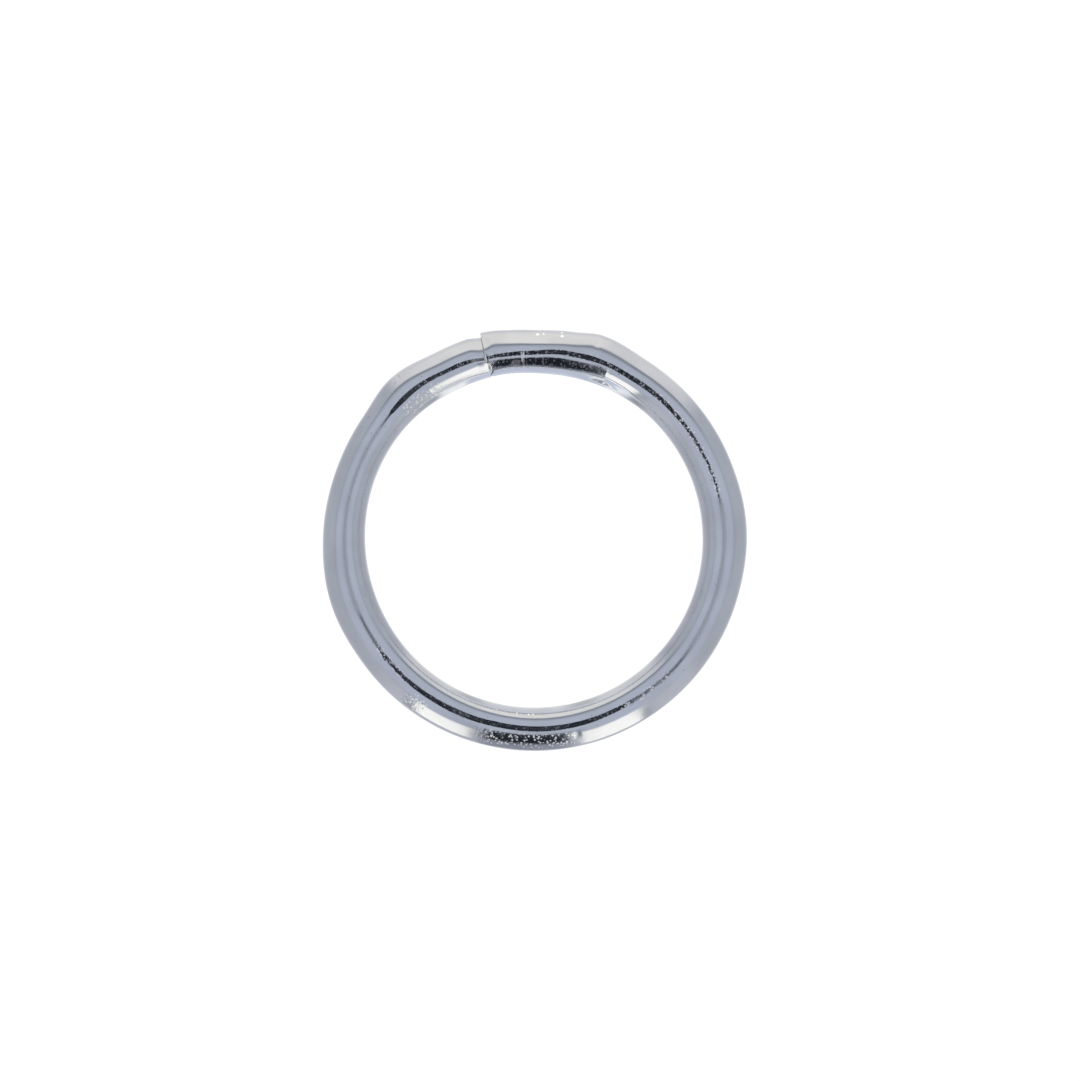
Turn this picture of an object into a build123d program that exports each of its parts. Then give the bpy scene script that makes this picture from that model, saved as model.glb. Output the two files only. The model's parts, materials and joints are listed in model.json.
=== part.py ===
from build123d import *
import math
import os

# A closed jump ring: one piece of round wire, coiled on a rod, cut off the coil and
# pressed shut with two pairs of pliers. It lies flat, as it comes to rest, eye upwards.
# Millimetres and degrees. Z is up, the ring rests on z = 0 and its eye is centred on Z.
# Places round the ring are given as a turn: 0 at the seam, growing clockwise from above.

# ---- Wire and ring ----
wire_dia = 1.02             # 18-gauge round wire
mandrel_dia = 8.0           # the rod that the wire was coiled on
cut_loss = 0.30             # length of wire that the cutting took out of each turn
seam_gap = 0.03             # hairline left between the closed ends
seam_angle = 105.0          # where the seam lies, counter-clockwise from +X

# ---- The cut ----
# The cutter left a rounded nose down the left-hand end, near the eye. It lies in a
# hollow of the right-hand end, with more room round it than the hairline.
nose_radius = 0.15
nose_inset = 0.32           # from the wire's centre line towards the eye
hollow_radius = 0.185
hollow_inset = 0.30

# ---- Where the pliers moved the wire ----
# Each mark is a smooth swell: how far it moves the wire's outside, or its eye side,
# where it is highest, and how many degrees it takes to fade each way.
right_grip_turn = 33.5      # the jaws' bite beside the right-hand end
right_grip_swell = 0.087
right_grip_seam_fade = 8.0  # towards the seam, where the jaw's edge bit
right_grip_far_fade = 15.0

left_grip_turn = 26.0       # the other jaws' bite, counted from the left-hand end
left_grip_swell = 0.105
left_grip_fade = 14.0

right_flat_turn = 16.0      # between bite and seam the wire was pressed flatter
right_flat_depth = 0.045
right_flat_fade = 12.0
right_tip_kick = 0.048      # and its tip stands proud of the other one
right_tip_fade = 9.0
left_tip_drop = 0.055       # whose outer corner is worn down
left_tip_fade = 4.0

right_tuck_turn = 21.0      # on the right the eye side was bent in with the tip
right_tuck_depth = 0.056
right_tuck_seam_fade = 21.0
right_tuck_far_fade = 38.0
left_relief_turn = 36.0     # on the left the eye side was bent out
left_relief_depth = 0.058
left_relief_seam_fade = 35.0
left_relief_far_fade = 70.0
left_thin_turn = 53.0       # and the outside was drawn in a little
left_thin_depth = 0.034
left_thin_fade = 26.0

haunch_fade = 20.0          # the jaws' heels marked both sides of the ring
right_haunch_turn = 102.0
right_haunch_swell = 0.028
left_haunch_turn = 92.0     # counted from the left-hand end
left_haunch_swell = 0.045

# ---- How closely the skin follows the wire sections ----
plain_step = 5.0            # turn between two sections where the wire is plain
worked_step = 2.0           # and where the pliers worked it, beside the seam
worked_turn = 44.0

# ---- Worked out from the sizes above ----
full_turn = 360.0
half_turn = full_turn / 2
wire_radius = wire_dia / 2
coil_radius = (mandrel_dia + wire_dia) / 2
wire_length = 2 * math.pi * coil_radius - cut_loss
ring_radius = (wire_length + seam_gap) / (2 * math.pi)      # the wire's centre line
spare_turn = math.degrees(2 * (hollow_radius + seam_gap) / (ring_radius - wire_radius))
trim_size = 4 * wire_dia


def swell(turn, middle, fade_before, fade_after):
    """1 at its middle, fading smoothly to 0 at the given turn before and after it."""
    fade = fade_before if turn < middle else fade_after
    away = min(abs(turn - middle) / fade, 1.0)
    return (1 + math.cos(math.pi * away)) / 2


def even_swell(turn, middle, fade):
    return swell(turn, middle, fade, fade)


def outside_shift(turn):
    """How far the wire's outside lies beyond a true circle at this turn."""
    return (
        right_grip_swell * swell(turn, right_grip_turn, right_grip_seam_fade, right_grip_far_fade)
        + left_grip_swell * even_swell(turn, full_turn - left_grip_turn, left_grip_fade)
        - right_flat_depth * even_swell(turn, right_flat_turn, right_flat_fade)
        + right_tip_kick * even_swell(turn, 0.0, right_tip_fade)
        - left_tip_drop * even_swell(turn, full_turn, left_tip_fade)
        - left_thin_depth * even_swell(turn, full_turn - left_thin_turn, left_thin_fade)
        + right_haunch_swell * even_swell(turn, right_haunch_turn, haunch_fade)
        + left_haunch_swell * even_swell(turn, full_turn - left_haunch_turn, haunch_fade)
    )


def eye_side_shift(turn):
    """How far the wire's eye side lies beyond a true circle at this turn."""
    tuck = swell(turn, right_tuck_turn, right_tuck_seam_fade, right_tuck_far_fade)
    relief_middle = full_turn - left_relief_turn
    relief = swell(turn, relief_middle, left_relief_far_fade, left_relief_seam_fade)
    return left_relief_depth * relief - right_tuck_depth * tuck


def away_from_eye(turn):
    """Unit vector from the eye's centre towards this turn."""
    angle = math.radians(seam_angle - turn)
    return Vector(math.cos(angle), math.sin(angle), 0)


def clockwise(turn):
    """Unit vector along the wire at this turn."""
    return away_from_eye(turn).cross(Vector(0, 0, 1))


def wire_section(turn):
    """The wire cut across at this turn: full height, and as wide as the pliers left it."""
    outside = ring_radius + wire_radius + outside_shift(turn)
    eye_side = ring_radius - wire_radius + eye_side_shift(turn)
    centre = away_from_eye(turn) * ((outside + eye_side) / 2) + Vector(0, 0, wire_radius)
    plane = Plane(origin=centre, x_dir=away_from_eye(turn), z_dir=clockwise(turn))
    return plane * Ellipse((outside - eye_side) / 2, wire_radius)


def even_turns(first, last, step):
    """Turns from first up to, but without, last, spaced evenly and at most a step apart."""
    count = math.ceil((last - first) / step)
    return [first + (last - first) * i / count for i in range(count)]


def smooth_wire(turns):
    return loft([wire_section(turn) for turn in turns])


def seam_point(inset):
    """On the seam at mid-height, a given distance from the wire's centre to the eye."""
    return away_from_eye(0.0) * (ring_radius - inset) + Vector(0, 0, wire_radius)


def upright_post(inset, radius):
    return Pos(seam_point(inset)) * Cylinder(radius, trim_size)


def beyond_seam(side, start):
    """A block that fills the seam's clockwise side (+1), or the other (-1), from start on."""
    middle = seam_point(0.0) + clockwise(0.0) * side * (start + trim_size / 2)
    plane = Plane(origin=middle, x_dir=away_from_eye(0.0), z_dir=(0, 0, 1))
    return plane * Box(trim_size, trim_size, trim_size)


def right_half():
    """From the seam clockwise to the far side, with the hollow for the nose in its end."""
    worked = even_turns(-spare_turn, worked_turn, worked_step)
    plain = even_turns(worked_turn, half_turn, plain_step)
    wire = smooth_wire(worked + plain + [half_turn])
    return wire - beyond_seam(-1, -seam_gap / 2) - upright_post(hollow_inset, hollow_radius)


def left_half():
    """From the far side on to the seam, ending in the nose."""
    plain = even_turns(half_turn, full_turn - worked_turn, plain_step)
    worked = even_turns(full_turn - worked_turn, full_turn + spare_turn, worked_step)
    wire = smooth_wire(plain + worked + [full_turn + spare_turn])
    return wire - (beyond_seam(1, -seam_gap / 2) - upright_post(nose_inset, nose_radius))


def wire_ring():
    """Both halves are one wire: they join on the far side and only meet at the seam."""
    return right_half() + left_half()


os.makedirs("parts", exist_ok=True)
export_step(wire_ring(), "parts/wire_ring.step")
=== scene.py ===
# %% [markdown]
# # A closed jump ring
# A jump ring is a small loop of wire that links one thing to another. Round wire is wound
# into a coil on a rod, the coil is cut along one side so that it falls apart into rings,
# and each ring is pressed shut with two pairs of pliers. This lesson dresses the CAD ring:
# one finely meshed piece of wire with the marks of that work, a polished metal, and the
# small white tent that such a thing is looked at in.

# %%
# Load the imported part
import json
import math

import bpy
import numpy as np
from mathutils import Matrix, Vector, noise


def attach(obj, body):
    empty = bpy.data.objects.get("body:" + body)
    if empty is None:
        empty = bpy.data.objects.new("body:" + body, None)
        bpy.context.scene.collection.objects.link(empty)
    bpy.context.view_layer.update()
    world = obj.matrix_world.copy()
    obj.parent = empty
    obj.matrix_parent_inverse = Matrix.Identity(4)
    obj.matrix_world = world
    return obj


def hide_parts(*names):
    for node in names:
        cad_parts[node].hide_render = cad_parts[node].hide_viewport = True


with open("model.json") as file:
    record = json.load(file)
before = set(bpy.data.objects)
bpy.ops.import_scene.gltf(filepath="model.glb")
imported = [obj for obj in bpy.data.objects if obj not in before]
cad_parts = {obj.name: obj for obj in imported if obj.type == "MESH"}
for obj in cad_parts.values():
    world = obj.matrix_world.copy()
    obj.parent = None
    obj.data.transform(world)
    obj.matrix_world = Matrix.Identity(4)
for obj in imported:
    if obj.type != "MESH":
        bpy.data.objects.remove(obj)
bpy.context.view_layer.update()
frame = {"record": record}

# %% [markdown]
# ## The sizes
# The record states the wire as a mount: its radius, and a point on its centre line that
# lies straight across the ring from the seam. The ring's radius and the seam's direction
# follow from that point, so that this file and the CAD part can't drift apart.

# %%
# Ring and wire sizes, in metres
MM = 0.001
mounts = {mount["name"]: mount for mount in frame["record"]["mounts"]}
wire_radius = mounts["wire"]["dims"]["r_mm"] * MM
far_x, far_y = mounts["wire"]["pos_m"][:2]
ring_radius = math.hypot(far_x, far_y)
seam_angle = math.degrees(math.atan2(-far_y, -far_x))
full_turn = 360.0
print(f"wire {2 * wire_radius / MM:.2f} mm, ring {2 * ring_radius / MM:.2f} mm")
print(f"seam at {seam_angle:.1f} degrees")

# %% [markdown]
# ## Where the pliers moved the wire
# Closing a ring by hand leaves it a little out of true. Beside each end the jaws bit and
# the wire swelled outwards; between bite and seam it was pressed flatter, and one tip
# stands proud of the other. Each mark is a smooth swell, highest at its middle and faded
# to nothing after a few degrees. Adding swells to a circle keeps the skin smooth, which
# matters here more than on any painted thing: polished metal shows every kink.
#
# Places are given as a turn: 0 at the seam, growing clockwise seen from above.

# %%
# One swell, and the two sums of them
right_grip_turn, right_grip_swell = 33.5, 0.087 * MM
right_grip_seam_fade, right_grip_far_fade = 8.0, 15.0
left_grip_turn, left_grip_swell, left_grip_fade = 26.0, 0.105 * MM, 14.0
right_flat_turn, right_flat_depth, right_flat_fade = 16.0, 0.045 * MM, 12.0
right_tip_kick, right_tip_fade = 0.048 * MM, 9.0
left_tip_drop, left_tip_fade = 0.055 * MM, 4.0
right_tuck_turn, right_tuck_depth = 21.0, 0.056 * MM
right_tuck_seam_fade, right_tuck_far_fade = 21.0, 38.0
left_relief_turn, left_relief_depth = 36.0, 0.058 * MM
left_relief_seam_fade, left_relief_far_fade = 35.0, 70.0
left_thin_turn, left_thin_depth, left_thin_fade = 53.0, 0.034 * MM, 26.0
haunch_fade = 20.0
right_haunch_turn, right_haunch_swell = 102.0, 0.028 * MM
left_haunch_turn, left_haunch_swell = 92.0, 0.045 * MM


def swell(turn, middle, fade_before, fade_after):
    """1 at its middle, fading smoothly to 0 at the given turn before and after it."""
    fade = np.where(turn < middle, fade_before, fade_after)
    away = np.minimum(np.abs(turn - middle) / fade, 1.0)
    return (1 + np.cos(np.pi * away)) / 2


def even_swell(turn, middle, fade):
    return swell(turn, middle, fade, fade)


def outside_shift(turn):
    """How far the wire's outside lies beyond a true circle."""
    return (
        right_grip_swell * swell(turn, right_grip_turn, right_grip_seam_fade, right_grip_far_fade)
        + left_grip_swell * even_swell(turn, full_turn - left_grip_turn, left_grip_fade)
        - right_flat_depth * even_swell(turn, right_flat_turn, right_flat_fade)
        + right_tip_kick * even_swell(turn, 0.0, right_tip_fade)
        - left_tip_drop * even_swell(turn, full_turn, left_tip_fade)
        - left_thin_depth * even_swell(turn, full_turn - left_thin_turn, left_thin_fade)
        + right_haunch_swell * even_swell(turn, right_haunch_turn, haunch_fade)
        + left_haunch_swell * even_swell(turn, full_turn - left_haunch_turn, haunch_fade)
    )


def eye_side_shift(turn):
    """How far the wire's eye side lies beyond a true circle."""
    tuck = swell(turn, right_tuck_turn, right_tuck_seam_fade, right_tuck_far_fade)
    relief_middle = full_turn - left_relief_turn
    relief = swell(turn, relief_middle, left_relief_far_fade, left_relief_seam_fade)
    return left_relief_depth * relief - right_tuck_depth * tuck


turns = np.linspace(0.0, full_turn, 721)
widths = (2 * wire_radius + outside_shift(turns) - eye_side_shift(turns)) / MM
print(f"the wire is {widths.min():.2f} to {widths.max():.2f} mm wide")

# %% [markdown]
# The jaws hold the wire's sides, so they move the sides more than the crest between them.
# The crest then leans a little, mostly towards the eye. It has also been rubbed to a narrow
# flat land along the worked ends and along the far side. Neither shows in the outline. Both
# show in the reflections: a land on polished metal copies one spot straight above it, so it
# looks like one even line, here a black one. In three places its edges are ragged.

# %%
# The crest: how far it leans to the eye, and how wide it is rubbed flat
crest_leans = [  # turn, fade, lean, which is negative away from the eye
    (0.0, 24.0, 0.075 * MM),
    (24.0, 11.0, -0.038 * MM),
    (38.0, 22.0, 0.026 * MM),
    (62.0, 22.0, 0.022 * MM),
    (146.0, 12.0, -0.028 * MM),
    (168.0, 14.0, 0.018 * MM),
    (204.0, 14.0, 0.014 * MM),
    (218.0, 26.0, 0.020 * MM),
    (332.0, 14.0, 0.030 * MM),
    (340.0, 9.0, -0.012 * MM),
    (360.0, 9.0, 0.030 * MM),
]
even_lean = 0.026 * MM
land_profile = [  # turn, width in millimetres, along each rubbed place in turn
    (0, 0.03), (3, 0.07), (8, 0.10), (30, 0.10), (40, 0.11), (52, 0.12), (64, 0.11), (72, 0.10),
    (80, 0.075), (88, 0.05), (90, 0.0),
    (152, 0.0), (162, 0.03), (164, 0.08), (170, 0.10), (182, 0.12), (200, 0.12), (225, 0.11),
    (240, 0.10), (245, 0.08), (246, 0.11), (247.5, 0.10), (248.5, 0.0),
    (325, 0.0), (327, 0.10), (332, 0.135), (338, 0.12), (343, 0.10), (347, 0.095), (351, 0.11),
    (355, 0.085), (358, 0.045), (360, 0.02),
]
land_turns, land_widths = zip(*land_profile)
ragged_places = [(56.0, 92.0), (150.0, 166.0), (236.0, 252.0)]  # from turn, to turn


def crest_shift(turn):
    """How far the crest lies beyond a true circle."""
    leans = sum(lean * even_swell(turn, middle, fade) for middle, fade, lean in crest_leans)
    return (outside_shift(turn) + eye_side_shift(turn)) / 2 - even_lean - leans


print(f"the land is up to {max(land_widths):.2f} mm wide")

# %% [markdown]
# ## The two ends
# The cutter left a small rounded nose down one end, near the eye, and the other end is
# hollowed round it. Everywhere else the ends meet along a hairline. Seen from above, an
# end is a line across the wire, so each is one function: how far clockwise from the seam
# it lies, for a place so far from the wire's centre line towards the eye. The cut slants
# a little from top to bottom, so no light comes up through the hairline and it looks dark.

# %%
# The line of each end across the wire
seam_gap, outer_gap = 0.03 * MM, 0.005 * MM
nose_radius, nose_inset = 0.15 * MM, 0.32 * MM
hollow_radius, hollow_inset = 0.17 * MM, 0.31 * MM
nose_setback = 0.065 * MM
seam_slant = 0.06           # how far the cut runs clockwise for each step down
closing_width = 0.5 * wire_radius


def round_reach(inset, centre, radius):
    """How far a circle set back behind the seam reaches out beside it."""
    return np.sqrt(np.maximum(radius**2 - (inset - centre) ** 2, 0.0)) - nose_setback


def half_gap(inset):
    """Half the hairline's width: most on the eye side, and almost nothing outside."""
    share = np.clip((inset + closing_width) / closing_width, 0, 1)
    return (outer_gap + (seam_gap - outer_gap) * share) / 2


def right_end(inset):
    return np.maximum(half_gap(inset), round_reach(inset, hollow_inset, hollow_radius))


def left_end(inset):
    return np.maximum(-half_gap(inset), round_reach(inset, nose_inset, nose_radius))


# %% [markdown]
# ## A skin for the wire
# A sweep or a bevelled curve would give a round tube, but not one whose width changes and
# whose ends fit each other. So the skin is laid as a grid: rows go along the wire, columns
# go round it, and one function says where each point lies. Rows are close together where
# the pliers worked, and columns are close at the crest and on the eye side, by the nose.

# %%
# Where a point of the skin lies
def skin_radius(turn, roll, shrink):
    """How far from the ring's middle a point lies. Roll is in radians, from the crest outwards."""
    outer_half = wire_radius + outside_shift(turn) - crest_shift(turn)
    eye_half = wire_radius - eye_side_shift(turn) + crest_shift(turn)
    side = np.where(np.sin(roll) > 0, outer_half, eye_half)
    return ring_radius + crest_shift(turn) + side * (1 - shrink) * np.sin(roll)


def skin_point(turn, roll, shrink):
    """turn in degrees, shrink 0 on the skin and 1 at the core."""
    radius = skin_radius(turn, roll, shrink)
    angle = np.radians(seam_angle - turn)
    height = wire_radius * (1 + (1 - shrink) * np.cos(roll))
    return np.stack([radius * np.cos(angle), radius * np.sin(angle), height], axis=-1)


def end_turns(roll, shrink, right):
    """The turn at which an end's face lies, for each column."""
    start = 0.0 if right else full_turn
    radius = skin_radius(np.full_like(roll, start), roll, shrink)
    inset = ring_radius - radius
    offset = right_end(inset) if right else left_end(inset)
    slant = seam_slant * wire_radius * (1 - (1 - shrink) * np.cos(roll))
    return start + np.degrees((offset + slant) / radius)


# %%
# Rows and columns
worked_turn, worked_step, plain_step = 45.0, 0.22, 0.85
column_bands = [  # from roll, to roll, how many columns
    (-166.0, -14.0, 60),
    (-14.0, -9.0, 2),
    (-9.0, 9.0, 20),
    (9.0, 194.0, 30),
]


def spread(first, last, step):
    count = math.ceil((last - first) / step)
    return np.linspace(first, last, count, endpoint=False)


row_turns = np.concatenate([
    spread(0.0, worked_turn, worked_step),
    spread(worked_turn, full_turn - worked_turn, plain_step),
    spread(full_turn - worked_turn, full_turn, worked_step),
    [full_turn],
])
row_shares = row_turns / full_turn
columns = np.radians(np.concatenate([
    np.linspace(first, last, count, endpoint=False) for first, last, count in column_bands
]))
print(f"{len(row_shares)} rows of {len(columns)} columns")

# %% [markdown]
# Each end is closed by rings of points that shrink towards the core. The first few go
# round a small edge radius, because no real edge is perfectly sharp and a rounded one
# catches the light as a thin bright line. The nosed end was tumbled rounder.

# %%
# The points of an end, from its core out to the skin
core_shrinks = [0.97, 0.8, 0.6, 0.4, 0.2]
edge_radius_right, edge_radius_left = 0.010 * MM, 0.012 * MM
edge_steps = 5


def end_rows(right):
    """(turns, shrink) of each row from the core to where the plain skin starts."""
    radius = edge_radius_right if right else edge_radius_left
    side = 1 if right else -1
    rows = [(end_turns(columns, shrink, right), shrink) for shrink in core_shrinks]
    for step in range(edge_steps + 1):
        lean = math.pi / 2 * (1 - step / edge_steps)
        shrink = radius * (1 - math.cos(lean)) / wire_radius
        back = np.degrees(radius * (1 - math.sin(lean)) / ring_radius)
        rows.append((end_turns(columns, shrink, right) + side * back, shrink))
    return rows


# %% [markdown]
# ## Marks in the metal
# The jaws also left broad marks on the upper side: flats, mostly outside the crest, and
# shallow creases on the eye side, where a jaw's corner bit and beside the seam. Under a
# loupe there are nicks too, and a slight unevenness. All of them are pushed into the mesh,
# like the land, because a polished surface shows a dent by how its reflections bend. One
# broad mark is a slight swell, so its depth is negative.

# %%
# Flats and creases, as a depth below the skin
# Each: turn, fade before and after, roll in degrees, fade towards the eye and outwards, depth
flats = [
    (38.0, 80.0, 60.0, 42.0, 40.0, 44.0, 0.0182 * MM),
    (20.0, 60.0, 12.0, 42.0, 40.0, 44.0, 0.0190 * MM),
    (0.0, 3.5, 3.5, 42.0, 40.0, 44.0, 0.0280 * MM),
    (345.0, 26.0, 40.0, 42.0, 40.0, 44.0, 0.0135 * MM),
    (360.0, 5.0, 5.0, 42.0, 40.0, 44.0, 0.0140 * MM),
    (28.0, 26.0, 22.0, -75.0, 45.0, 45.0, 0.0130 * MM),
    (230.0, 45.0, 34.0, -2.0, 46.0, 46.0, 0.0120 * MM),
    (160.0, 30.0, 40.0, -2.0, 46.0, 46.0, 0.0040 * MM),
    (246.0, 60.0, 22.0, -58.0, 26.0, 40.0, -0.0110 * MM),
]
creases = [
    (38.7, 14.9, 20.8, -57.0, 25.0, 42.0, 0.0655 * MM),
    (38.5, 8.1, 8.0, -18.0, 34.0, 15.0, 0.0220 * MM),
    (0.0, 9.0, 9.0, -34.0, 26.0, 30.0, 0.014 * MM),
    (360.0, 9.0, 9.0, -34.0, 26.0, 30.0, 0.022 * MM),
]


def crease(turn, middle, fade_before, fade_after):
    """1 at its middle, sharply falling, fading to 0 before and after it."""
    fade = np.where(turn < middle, fade_before, fade_after)
    return (1 - np.minimum(np.abs(turn - middle) / fade, 1.0)) ** 2


def press_depth(turn, roll):
    """How deep the flats and creases are."""
    degrees = np.degrees(roll)
    total = np.zeros_like(turn)
    for shape, marks in ((swell, flats), (crease, creases)):
        for at_turn, before, after, at_roll, eye_fade, outer_fade, depth in marks:
            around = swell(degrees, at_roll, eye_fade, outer_fade)
            total += depth * shape(turn, at_turn, before, after) * around
    return total


# %%
# Nicks and unevenness, as a depth below the skin
# Each nick: turn, roll, half its length along the turn, half its length round the wire, depth
nicks = [
    (11.4, -8.0, 0.50, 28.0, 0.0035 * MM),
    (12.6, -48.0, 0.35, 9.0, 0.0050 * MM),
    (33.0, 44.0, 1.10, 16.0, 0.0060 * MM),
    (335.0, 58.0, 0.60, 10.0, 0.0060 * MM),
    (340.0, -34.0, 0.60, 9.0, 0.0045 * MM),
    (182.8, 27.0, 0.80, 9.0, 0.0080 * MM),
    (205.6, 38.0, 0.35, 26.0, 0.0040 * MM),
    (207.2, 2.0, 0.30, 10.0, 0.0030 * MM),
    (220.4, 1.0, 0.45, 10.0, 0.0040 * MM),
    (246.3, 1.0, 0.60, 7.0, 0.0070 * MM),
    (164.6, 2.0, 0.55, 7.0, 0.0080 * MM),
]
broad_depth, broad_size = 0.0010 * MM, 0.55 * MM
chatter_depth, chatter_length, chatter_width = 0.0026 * MM, 0.13 * MM, 0.06 * MM
chatter_reach = math.pi / 6  # as far as this from the crest, in radians


def nick_depth(turn, roll):
    """How deep the nicks are: sharp along the turn, and blunt round the wire."""
    degrees = np.degrees(roll)
    total = np.zeros_like(turn)
    for at_turn, at_roll, reach, spread_round, depth in nicks:
        along = np.clip(np.abs(turn - at_turn) / reach, 0, 1)
        around = np.clip(np.abs(degrees - at_roll) / spread_round, 0, 1)
        total += depth * (1 - along) * (1 - around**3)
    return total


def rubbed_depth(turn, roll):
    """How deep the land on the crest cuts."""
    width = np.interp(turn, land_turns, land_widths) * MM
    level = np.sqrt(wire_radius**2 - (width / 2) ** 2)
    level_there = level / np.maximum(np.cos(roll), 0.5)  # 0.5 keeps clear of dividing by 0
    return np.maximum(wire_radius - level_there, 0.0)


def smooth_noise(places):
    """Smooth noise from 0 to 1."""
    values = [noise.noise(Vector(place)) for place in places.reshape(-1, 3)]
    return 0.5 + 0.5 * np.array(values).reshape(places.shape[:-1])


def uneven_depth(turn, roll, points):
    """A slight unevenness all over, and chatter where the land's edges are ragged."""
    ragged = sum(
        even_swell(turn, (first + last) / 2, (last - first) / 2) for first, last in ragged_places
    )
    nearness = np.cos(math.pi / 2 * np.minimum(np.abs(roll) / chatter_reach, 1.0))
    along = ring_radius * np.radians(turn) / chatter_length
    around = wire_radius * roll / chatter_width
    chatter = smooth_noise(np.stack([along, around, 0 * roll], axis=-1))
    broad = smooth_noise(points / broad_size)
    return broad_depth * broad + chatter_depth * np.sqrt(ragged) * nearness * chatter


# %%
# Lay the grid
def wire_rows():
    rows = list(end_rows(right=True))
    first = rows[-1][0]
    last_rows = end_rows(right=False)
    last = last_rows[-1][0]
    for share in row_shares[1:-1]:
        rows.append((first + (last - first) * share, 0.0))
    return rows + last_rows[::-1]


rows = wire_rows()
row_turn = np.array([turn for turn, _ in rows])
row_shrink = np.array([np.full(len(columns), shrink) for _, shrink in rows])
roll_grid = np.tile(columns, (len(rows), 1))
signed_roll = (roll_grid + math.pi) % (2 * math.pi) - math.pi
skin = skin_point(row_turn, roll_grid, row_shrink)
depth = np.maximum(uneven_depth(row_turn, signed_roll, skin), rubbed_depth(row_turn, signed_roll))
depth += press_depth(row_turn, signed_roll) + nick_depth(row_turn, signed_roll)
skin = skin_point(row_turn, roll_grid, row_shrink + depth / wire_radius * (1 - row_shrink))
print(f"deepest mark {1000 * depth.max() / MM:.1f} micrometres")


# %%
# Turn the grid into one closed mesh
def grid_faces(row_count, column_count):
    faces = []
    for row in range(row_count - 1):
        for column in range(column_count):
            beside = (column + 1) % column_count
            low, high = row * column_count, (row + 1) * column_count
            faces.append((low + column, high + column, high + beside, low + beside))
    return faces


def closed_wire(name):
    row_count, column_count = skin.shape[:2]
    points = skin.reshape(-1, 3)
    cores = [skin[0].mean(axis=0), skin[-1].mean(axis=0)]
    faces = grid_faces(row_count, column_count)
    first_core, last_core = len(points), len(points) + 1
    last_row = (row_count - 1) * column_count
    for column in range(column_count):
        beside = (column + 1) % column_count
        faces.append((first_core, column, beside))
        faces.append((last_core, last_row + beside, last_row + column))
    mesh = bpy.data.meshes.new(name)
    mesh.from_pydata(np.vstack([points, cores]).tolist(), [], faces)
    mesh.update()
    mesh.validate()
    mesh.shade_smooth()
    piece = bpy.data.objects.new(name, mesh)
    bpy.context.scene.collection.objects.link(piece)
    return piece


wire = closed_wire("bright_wire_ring")
print(f"{len(wire.data.polygons)} faces")

# %% [markdown]
# Drawn wire has marks that run along it, so the finish needs to know where along the wire
# and where round it a point lies. A UV map would tear where it wraps round. Instead each
# point keeps its place on the wire as if it were pulled straight, as an attribute.

# %%
# Each point's place on the straightened wire
def store_straight_places(piece):
    along = ring_radius * np.radians(row_turn)
    reach = wire_radius * (1 - row_shrink)
    places = np.stack([along, reach * np.sin(roll_grid), reach * np.cos(roll_grid)], axis=-1)
    ends = [[0.0, 0.0, 0.0], [ring_radius * 2 * math.pi, 0.0, 0.0]]
    store = piece.data.attributes.new("straight", "FLOAT_VECTOR", "POINT")
    store.data.foreach_set("vector", np.vstack([places.reshape(-1, 3), ends]).ravel())


store_straight_places(wire)

# %% [markdown]
# ## Writing shaders as sums
# Node trees are quick to draw and slow to read. This small class wraps one socket, so that
# an expression such as `1 - mask` adds the Math node that it needs. Every other node comes
# from its one method `node`.

# %%
# A socket that can be reckoned with
def open_socket(sockets, name):
    if isinstance(name, int):
        return sockets[name]
    return next(socket for socket in sockets if socket.enabled and socket.name == name)


class Signal:
    """An output socket of a node tree."""

    def __init__(self, tree, socket):
        self.tree = tree
        self.socket = socket

    @staticmethod
    def node(tree, kind, settings=None, inputs=None, output=0):
        """Add a node and return one of its outputs. Inputs are values or signals."""
        made = tree.nodes.new(kind)
        for name, value in (settings or {}).items():
            setattr(made, name, value)
        for name, value in (inputs or {}).items():
            socket = open_socket(made.inputs, name)
            if isinstance(value, Signal):
                tree.links.new(value.socket, socket)
            else:
                socket.default_value = value
        return Signal(tree, open_socket(made.outputs, output))

    def reckon(self, operation, *values):
        inputs = dict(enumerate(values))
        return Signal.node(self.tree, "ShaderNodeMath", {"operation": operation}, inputs)

    def maths(self, operation, *others):
        return self.reckon(operation, self, *others)

    def __add__(self, other):
        return self.reckon("ADD", self, other)

    def __radd__(self, other):
        return self.reckon("ADD", other, self)

    def __sub__(self, other):
        return self.reckon("SUBTRACT", self, other)

    def __rsub__(self, other):
        return self.reckon("SUBTRACT", other, self)

    def __mul__(self, other):
        return self.reckon("MULTIPLY", self, other)

    def __rmul__(self, other):
        return self.reckon("MULTIPLY", other, self)

    def __truediv__(self, other):
        return self.reckon("DIVIDE", self, other)

    def __rtruediv__(self, other):
        return self.reckon("DIVIDE", other, self)

    def __neg__(self):
        return self * -1.0

    def rise(self, low, high):
        """0 below low, 1 above high, smooth between."""
        settings = {"interpolation_type": "SMOOTHSTEP"}
        inputs = {"Value": self, "From Min": low, "From Max": high}
        return Signal.node(self.tree, "ShaderNodeMapRange", settings, inputs, "Result")

    def within(self, low, high, soft):
        """1 between low and high, 0 outside, with soft edges."""
        return self.rise(low - soft, low + soft) * (1 - self.rise(high - soft, high + soft))

    def mix(self, first, second):
        """The first colour where this is 0, the second where it is 1."""
        inputs = {"Factor": self, "A": first, "B": second}
        return Signal.node(self.tree, "ShaderNodeMix", {"data_type": "RGBA"}, inputs, "Result")


def fresh_tree(holder, output_kind):
    """An empty node tree with its output node."""
    holder.use_nodes = True
    holder.node_tree.nodes.clear()
    return holder.node_tree, holder.node_tree.nodes.new(output_kind)


def colour(red, green, blue):
    return (red, green, blue, 1.0)


def part_of(vector, name):
    return Signal.node(vector.tree, "ShaderNodeSeparateXYZ", inputs={"Vector": vector}, output=name)


one_radian = 180 / math.pi


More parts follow.
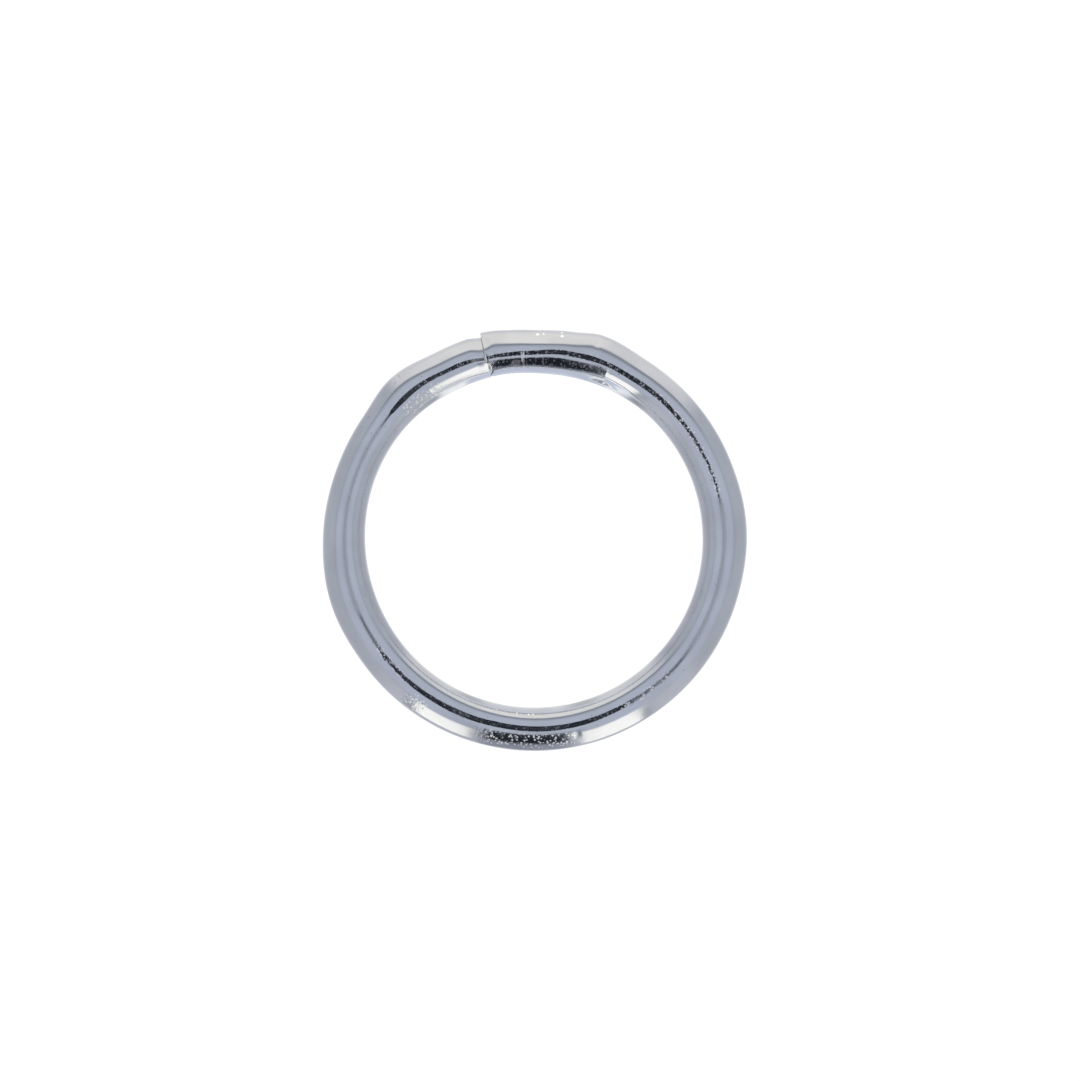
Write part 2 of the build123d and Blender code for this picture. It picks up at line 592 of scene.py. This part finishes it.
# %% [markdown]
# ## The bright finish
# The wire is steel or brass under a bright plating, a shade cooler than silver. Plating
# copies what lies under it: the fine lines of the drawing die along the wire, and a grit of
# tiny lumps where the metal was worked. It also has a few open pits, and a few pale flecks
# and matt specks where the plating is bruised. In the seam and round the hollow its colour
# is darkened as painted shade. The crest is a little dull between its rubbed places, and so
# is most of the eye side. The land is brighter, and so is the place where the right jaw bit.
# It is all one Principled shader. Its colour, metallic part, roughness and bump vary.

# %%
# Where the plating is gritty, and where its flecks are
gritty_places = [  # from turn, to turn, from roll, to roll, how gritty
    (-3.0, 56.0, -8.0, 8.0, 0.35),
    (56.0, 92.0, -9.0, 9.0, 0.80),
    (-3.0, 40.0, -52.0, -12.0, 0.25),
    (150.0, 168.0, -8.0, 8.0, 0.80),
    (168.0, 238.0, -8.0, 8.0, 0.25),
    (238.0, 252.0, -8.0, 8.0, 0.80),
    (184.0, 210.0, 14.0, 58.0, 1.00),
    (228.0, 234.0, 12.0, 66.0, 1.00),
    (329.0, 344.0, -56.0, -14.0, 0.80),
    (337.0, 357.0, -8.0, 8.0, 0.30),
]
# Each fleck: turn, roll, half its length along the turn, half its length round, how strong
bright_flecks = [
    (15.9, 56.0, 0.42, 4.5, 1.0),
    (17.6, 58.0, 0.28, 3.0, 1.0),
    (22.6, 65.0, 0.34, 3.0, 1.0),
    (22.8, 50.0, 0.46, 4.5, 1.0),
    (195.4, -45.0, 0.55, 3.0, 1.0),
    (196.9, -44.0, 0.40, 3.0, 1.0),
    (200.7, -45.0, 0.45, 3.0, 1.0),
    (207.4, -46.0, 0.30, 3.0, 0.8),
]
matt_flecks = [
    (9.0, -30.0, 1.7, 13.0, 0.20),
    (11.5, -22.0, 0.45, 26.0, 0.30),
    (165.1, 2.0, 0.5, 3.0, 0.3),
    (183.2, 24.0, 0.9, 7.0, 0.6),
    (357.6, 0.0, 2.4, 9.0, 0.20),
]


def gritty_at(turn, roll):
    """1 in the grittiest places, 0 elsewhere, with soft edges."""
    return sum(
        amount * turn.within(first, last, 3.0) * roll.within(lowest, highest, 4.0)
        for first, last, lowest, highest, amount in gritty_places
    )


def fleck_at(turn, roll, flecks):
    """How strong the flecks are, 0 elsewhere."""
    total = 0.0
    for at_turn, at_roll, along, around, strength in flecks:
        aside = (turn - at_turn) / along
        above = (roll - at_roll) / around
        total = total + strength * (1 - (aside * aside + above * above).rise(0.5, 1.2))
    return total


# %%
# Bright plated wire
plate_colour = frame["record"]["materials"][0]["base_color"]
pale_plate = colour(0.92, 0.91, 0.90)
micrometre = 0.001 * MM


def shade(factor):
    red, green, blue = plate_colour[:3]
    return colour(red * factor, green * factor, blue * factor)


def bright_wire_finish():
    material = bpy.data.materials.new("bright_wire")
    tree, output = fresh_tree(material, "ShaderNodeOutputMaterial")
    settings = {"attribute_name": "straight"}
    straight = Signal.node(tree, "ShaderNodeAttribute", settings, output="Vector")
    turn = part_of(straight, "X") * (one_radian / ring_radius)
    roll = part_of(straight, "Y").maths("ARCTAN2", part_of(straight, "Z")) * one_radian

    def noise_along(scale_along, scale_round, detail):
        scale = (scale_along / MM, scale_round / MM, scale_round / MM)
        place = Signal.node(tree, "ShaderNodeMapping", inputs={"Vector": straight, "Scale": scale})
        inputs = {"Vector": place, "Scale": 1.0, "Detail": detail, "Roughness": 0.55}
        return Signal.node(tree, "ShaderNodeTexNoise", inputs=inputs, output="Fac")

    def scattered(per_mm, near, far):
        inputs = {"Vector": straight, "Scale": per_mm / MM, "Randomness": 1.0}
        distance = Signal.node(tree, "ShaderNodeTexVoronoi", inputs=inputs, output="Distance")
        return 1 - distance.rise(near, far)

    drawn_lines = noise_along(0.35, 16.0, 3.0)
    cloud = noise_along(1.1, 1.6, 2.0)
    grit = noise_along(9.0, 11.0, 2.0)
    lump = scattered(11.0, 0.08, 0.42)
    speck = scattered(13.0, 0.20, 0.42)
    pit = scattered(3.2, 0.02, 0.09)
    gritty = gritty_at(turn, roll)
    matt = (fleck_at(turn, roll, matt_flecks) + 0.9 * speck * gritty).maths("MINIMUM", 1.0)
    land = turn.within(-4, 92, 2) + turn.within(165, 249, 2) + turn.within(325, 364, 2)
    inner_sides = turn.within(54, 138, 5) + turn.within(250, 352, 4)
    plain_sides = turn.within(94, 141, 4) + turn.within(262, 322, 2)
    bitten = turn.within(-4, 50, 3)
    crest_satin = (0.06 * (1 - land) + 0.14 * plain_sides) * roll.within(-8, 8, 3)
    eye_satin = (0.07 * (1 - bitten) + 0.13 * inner_sides) * roll.within(-55, -36, 4)
    satin = crest_satin + eye_satin
    bite_polish = 0.045 * bitten * roll.within(-62, -14, 3)
    polish = 0.035 * land * roll.within(-9, 9, 3) + bite_polish

    worn = cloud.rise(0.35, 0.7)
    base = worn.mix(shade(1.03), shade(0.95))
    base = (pit * 0.5).mix(base, shade(0.35))
    # Painted shade: the plate is darkened in the seam and round the hollow beside the nose
    seam_painted_shade = turn.within(-0.6, 0.7, 0.3) * roll.within(-64, 8, 5)
    hollow_painted_shade = 0.7 * turn.within(0.7, 1.5, 0.3) * roll.within(-58, -24, 5)
    base = ((seam_painted_shade + hollow_painted_shade) * 0.8).mix(base, shade(0.15))
    pale = (fleck_at(turn, roll, bright_flecks) + matt).maths("MINIMUM", 1.0)
    base = pale.mix(base, pale_plate)
    roughness = 0.11 + 0.03 * worn + 0.02 * drawn_lines.rise(0.4, 0.7) + 0.2 * pit + satin - polish
    grit_height = (0.5 + 2.2 * gritty) * grit + 1.8 * gritty * lump
    height = micrometre * (grit_height + 0.3 * drawn_lines - 1.5 * pit)
    bump_inputs = {"Strength": 1.0, "Distance": 1.0, "Height": height}
    bump = Signal.node(tree, "ShaderNodeBump", inputs=bump_inputs)
    inputs = {"Base Color": base, "Metallic": 1 - matt, "Roughness": roughness, "Normal": bump}
    metal = Signal.node(tree, "ShaderNodeBsdfPrincipled", inputs=inputs)
    tree.links.new(metal.socket, output.inputs["Surface"])
    return material


wire.data.materials.append(bright_wire_finish())
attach(wire, "root")
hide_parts("wire_ring")
print("the wire has its finish")

# %% [markdown]
# ## The light tent
# Polished metal has hardly any look of its own: it shows the room. Small bright goods are
# looked at in a white tent, with two strip lamps at the front, a paler back wall, and a
# dark slot at the front and top where the viewer looks in. Real cards and lamps could be
# built, but light that depends on direction alone belongs on the world, where it is also
# free of noise. Away from the lamps the tent is plain and a little cool.
#
# A direction is given by two angles. The azimuth is 0 to the front, -Y, and grows towards
# +X. The polar angle is 0 straight up and 90 level.

# %%
# The directions, as signals of the world's node tree
world = bpy.data.worlds.new("light_tent")
bpy.context.scene.world = world
tent_tree, tent_output = fresh_tree(world, "ShaderNodeOutputWorld")
direction = Signal.node(tent_tree, "ShaderNodeTexCoord", output="Generated")
polar = part_of(direction, "Z").maths("ARCCOSINE") * one_radian
azimuth = part_of(direction, "X").maths("ARCTAN2", -part_of(direction, "Y")) * one_radian
aside = azimuth.maths("ABSOLUTE")
print("directions ready")

# %% [markdown]
# The tent itself: pale sides, a slightly brighter roof, a bright table, and the soft shadow
# of the fold where sides and roof meet. At the back the wall is lit more, below a dark seam.

# %%
# Sides, roof and back wall
side_light = colour(0.72, 0.73, 0.75)
roof_light = colour(0.785, 0.805, 0.875)
fold_light = colour(0.60, 0.63, 0.68)
table_light = colour(0.92, 0.92, 0.95)
wall_light = colour(1.42, 1.33, 1.19)
side_wall_light = colour(1.18, 1.12, 1.06)
low_wall_light = colour(1.12, 1.09, 1.04)
seam_light = colour(0.36, 0.38, 0.42)
fold_strength = 0.6
wall_top = 60.0

light = polar.rise(38, 56).mix(roof_light, side_light)
light = polar.rise(120, 165).mix(light, table_light)
fold = polar.within(44, 57, 4) * aside.rise(50, 90)
light = (fold_strength * fold).mix(light, fold_light)
wall = aside.rise(140, 166).mix(side_wall_light, wall_light)
wall = polar.rise(95, 125).mix(wall, low_wall_light)
behind = azimuth.rise(127, 137) + (-azimuth).rise(131, 141)
back_wall = behind * (polar - wall_top).rise(-2, 7)
light = back_wall.mix(light, wall)
wall_seam = aside.rise(118, 135) * (polar - wall_top).within(-8, 0, 2.5)
light = wall_seam.mix(light, seam_light)
print("sides, roof, table and back wall are up")

# %% [markdown]
# The two strip lamps stand in front. Beside each is a narrow dark edge of its frame, and
# beyond that its glow on the tent.

# %%
# Strip lamps
strip_light = colour(1.88, 1.78, 1.58)
frame_light = colour(0.35, 0.37, 0.40)
glow_light = colour(0.84, 0.84, 0.86)
left_strip, right_strip = (-35.0, -18.7), (13.5, 31.0)
left_frame_edge, right_frame_edge = left_strip[0] - 4, right_strip[1] + 3
left_frame_strength, right_frame_strength = 0.65, 0.5
strip_soft, frame_soft = 0.8, 1.5

strip_glow = aside.within(33, 51, 4) * polar.within(50, 130, 8)
light = strip_glow.mix(light, glow_light)
left_frame = azimuth.within(left_frame_edge, left_strip[0], frame_soft)
right_frame = azimuth.within(right_strip[1], right_frame_edge, frame_soft)
left_frame = left_frame * polar.within(42, 130, 8)
right_frame = right_frame * polar.within(46, 140, 8)
light = (left_frame_strength * left_frame).mix(light, frame_light)
light = (right_frame_strength * right_frame).mix(light, frame_light)
left_lamp = azimuth.within(*left_strip, strip_soft) * polar.within(48, 118, 4)
right_lamp = azimuth.within(*right_strip, strip_soft) * polar.within(46, 128, 5)
light = left_lamp.mix(light, strip_light)
light = right_lamp.mix(light, strip_light)
print(f"strip lamps from {left_strip} to {right_strip} degrees")

# %% [markdown]
# The viewer looks in through a slot at the front and a hole in the roof. Both are dark,
# and they give the wire its black line and its two black blocks. The slot is lighter low
# down. The hole is a slit that runs from front to back and fans out near the lens.

# %%
# Dark slot and hole
dark = colour(0.020, 0.022, 0.030)
dusk = colour(0.47, 0.48, 0.53)
slot_right, slot_left, slot_left_above, slot_soft = 10.0, 15.7, 14.5, 1.5
slot_side = slot_left + (slot_left_above - slot_left) * (1 - polar.rise(34, 56))
slot = (azimuth + slot_side).rise(-slot_soft, slot_soft)
slot = slot * (1 - azimuth.rise(slot_right - slot_soft, slot_right + slot_soft))
slot = slot * polar.rise(24, 32) * (1 - polar.rise(130, 160))
light = slot.mix(light, polar.rise(72, 98).mix(dark, dusk))

hole_turn, hole_half_width, hole_half_length = -11.0, 3.6, 13.0
fan_reach, hole_soft = 9.5, 1.4
across_slit = ((azimuth - hole_turn) / one_radian).maths("SINE").maths("ABSOLUTE")
slit_reach = (hole_half_width / across_slit).maths("MINIMUM", hole_half_length)
fan = azimuth.within(-58, 37, 3) + 1 - azimuth.within(-126, 118, 3)
hole_reach = slit_reach.maths("MAXIMUM", fan_reach * fan)
hole = 1 - (polar - hole_reach).rise(-hole_soft, hole_soft)
light = hole.mix(light, dark)
print(f"slot {slot_left + slot_right:.1f} degrees wide, slit {2 * hole_half_width:.1f}")

# %%
# To the camera itself, the background is plain white
white, black = colour(1.0, 1.0, 1.0), colour(0.0, 0.0, 0.0)
is_camera = Signal.node(tent_tree, "ShaderNodeLightPath", output="Is Camera Ray")
seen_light = is_camera.mix(light, white)
background_inputs = {"Color": seen_light, "Strength": 1.0}
background = Signal.node(tent_tree, "ShaderNodeBackground", inputs=background_inputs)
tent_tree.links.new(background.socket, tent_output.inputs["Surface"])
print("tent lit")

# %% [markdown]
# ## The floor
# The ring lies on a clear plate over a lit white table. The plate is one disc. To the
# camera it is white: a little of that is paint, which takes the ring's soft shadow, and
# the rest is the table's own light. Far from the ring, where no shadow falls, it is the
# table's light alone, which is quick to render. Reflections look through the plate.
# Only the table inside the ring is near enough to show in the wire's eye side: by the seam
# and across from it, as a pale band under the black block. That band is a painted glow that
# only reflections see, and by the seam two brighter patches on it are painted light standing
# for the strip lamps.

# %%
# A round white floor
floor_radius, floor_drop = 0.6, 0.01 * MM
floor_sides = 128
floor_paint = colour(0.20, 0.20, 0.20)
table_glow, bare_glow = colour(0.92, 0.92, 0.92), 1.05
# Painted light, seen only in reflections: the glow of the table inside the ring, by the seam and
# across from it
near_light, far_light = colour(0.86, 0.89, 0.98), colour(0.99, 0.97, 0.94)
near_turns, far_turns, wedge_soft = (-22.0, 50.0), (179.0, 217.0), 8
# Painted light: two brighter patches by the seam stand for the strip lamps' light on the table
painted_lamp_light, lit_radius = colour(1.50, 1.46, 1.36), 3.72 * MM
lit_turns, dimly_lit_turns, lit_soft = (-19.5, -8.8), (39.5, 48.5), 1.5
dim_share = 0.85
wedge_radius = ring_radius - wire_radius
paint_radius = 8.0 * MM


def round_floor():
    angles = np.linspace(0, 2 * math.pi, floor_sides, endpoint=False)
    points = [(floor_radius * math.cos(a), floor_radius * math.sin(a), 0.0) for a in angles]
    mesh = bpy.data.meshes.new("floor")
    mesh.from_pydata(points, [], [tuple(range(floor_sides))])
    piece = bpy.data.objects.new("floor", mesh)
    bpy.context.scene.collection.objects.link(piece)
    piece.location.z = -floor_drop
    return piece


def floor_finish():
    material = bpy.data.materials.new("floor_white")
    tree, output = fresh_tree(material, "ShaderNodeOutputMaterial")
    is_camera = Signal.node(tree, "ShaderNodeLightPath", output="Is Camera Ray")
    is_reflection = Signal.node(tree, "ShaderNodeLightPath", output="Is Glossy Ray")
    place = Signal.node(tree, "ShaderNodeTexCoord", output="Object")
    across, back = part_of(place, "X"), part_of(place, "Y")
    turn = seam_angle - back.maths("ARCTAN2", across) * one_radian
    radius = (across * across + back * back).maths("SQRT")
    near, far = turn.within(*near_turns, wedge_soft), turn.within(*far_turns, wedge_soft)
    wedge = (near + far) * (1 - radius.rise(0.93 * wedge_radius, wedge_radius))
    dimly_lit = dim_share * turn.within(*dimly_lit_turns, lit_soft)
    lit = turn.within(*lit_turns, lit_soft) + dimly_lit
    lit = lit * (1 - radius.rise(0.95 * lit_radius, 1.05 * lit_radius))
    # Painted light for reflections only: the table's glow inside the ring, with the lamps' patches
    inside = lit.mix(far.mix(near_light, far_light), painted_lamp_light)
    glow = is_camera.mix((is_reflection * wedge).mix(black, inside), table_glow)
    inputs = {
        "Base Color": floor_paint,
        "Roughness": 0.9,
        "Specular IOR Level": 0.0,
        "Emission Color": glow,
        "Emission Strength": 1.0,
    }
    table = Signal.node(tree, "ShaderNodeBsdfPrincipled", inputs=inputs)
    clear = Signal.node(tree, "ShaderNodeBsdfTransparent")
    see_through = is_reflection * (1 - wedge)
    surface = Signal.node(tree, "ShaderNodeMixShader", inputs={0: see_through, 1: table, 2: clear})
    bare_inputs = {"Color": white, "Strength": bare_glow}
    bare_table = Signal.node(tree, "ShaderNodeEmission", inputs=bare_inputs)
    bare = is_camera * radius.rise(0.75 * paint_radius, paint_radius)
    surface = Signal.node(tree, "ShaderNodeMixShader", inputs={0: bare, 1: surface, 2: bare_table})
    tree.links.new(surface.socket, output.inputs["Surface"])
    return material


floor = round_floor()
floor.data.materials.append(floor_finish())
print("floor laid")

# %% [markdown]
# ## The camera
# The ring is seen from straight above through a long lens, which keeps the two sides of
# the wire alike. The frame is two and a half rings wide.

# %%
# Camera
lens_mm, sensor_mm = 150.0, 36.0
view_width = 25.41 * MM
look_x, look_y = 0.1335 * MM, -0.0245 * MM

camera_data = bpy.data.cameras.new("camera")
camera_data.lens = lens_mm
camera_data.sensor_width = sensor_mm
camera_data.sensor_fit = "HORIZONTAL"
camera_data.clip_start = 0.001
camera_data.clip_end = 10.0
camera = bpy.data.objects.new("camera", camera_data)
camera.location = (look_x, look_y, wire_radius + view_width * lens_mm / sensor_mm)
bpy.context.scene.collection.objects.link(camera)
bpy.context.scene.camera = camera
bpy.context.scene.view_settings.view_transform = "Standard"
print(f"camera {camera.location.z:.3f} m up")
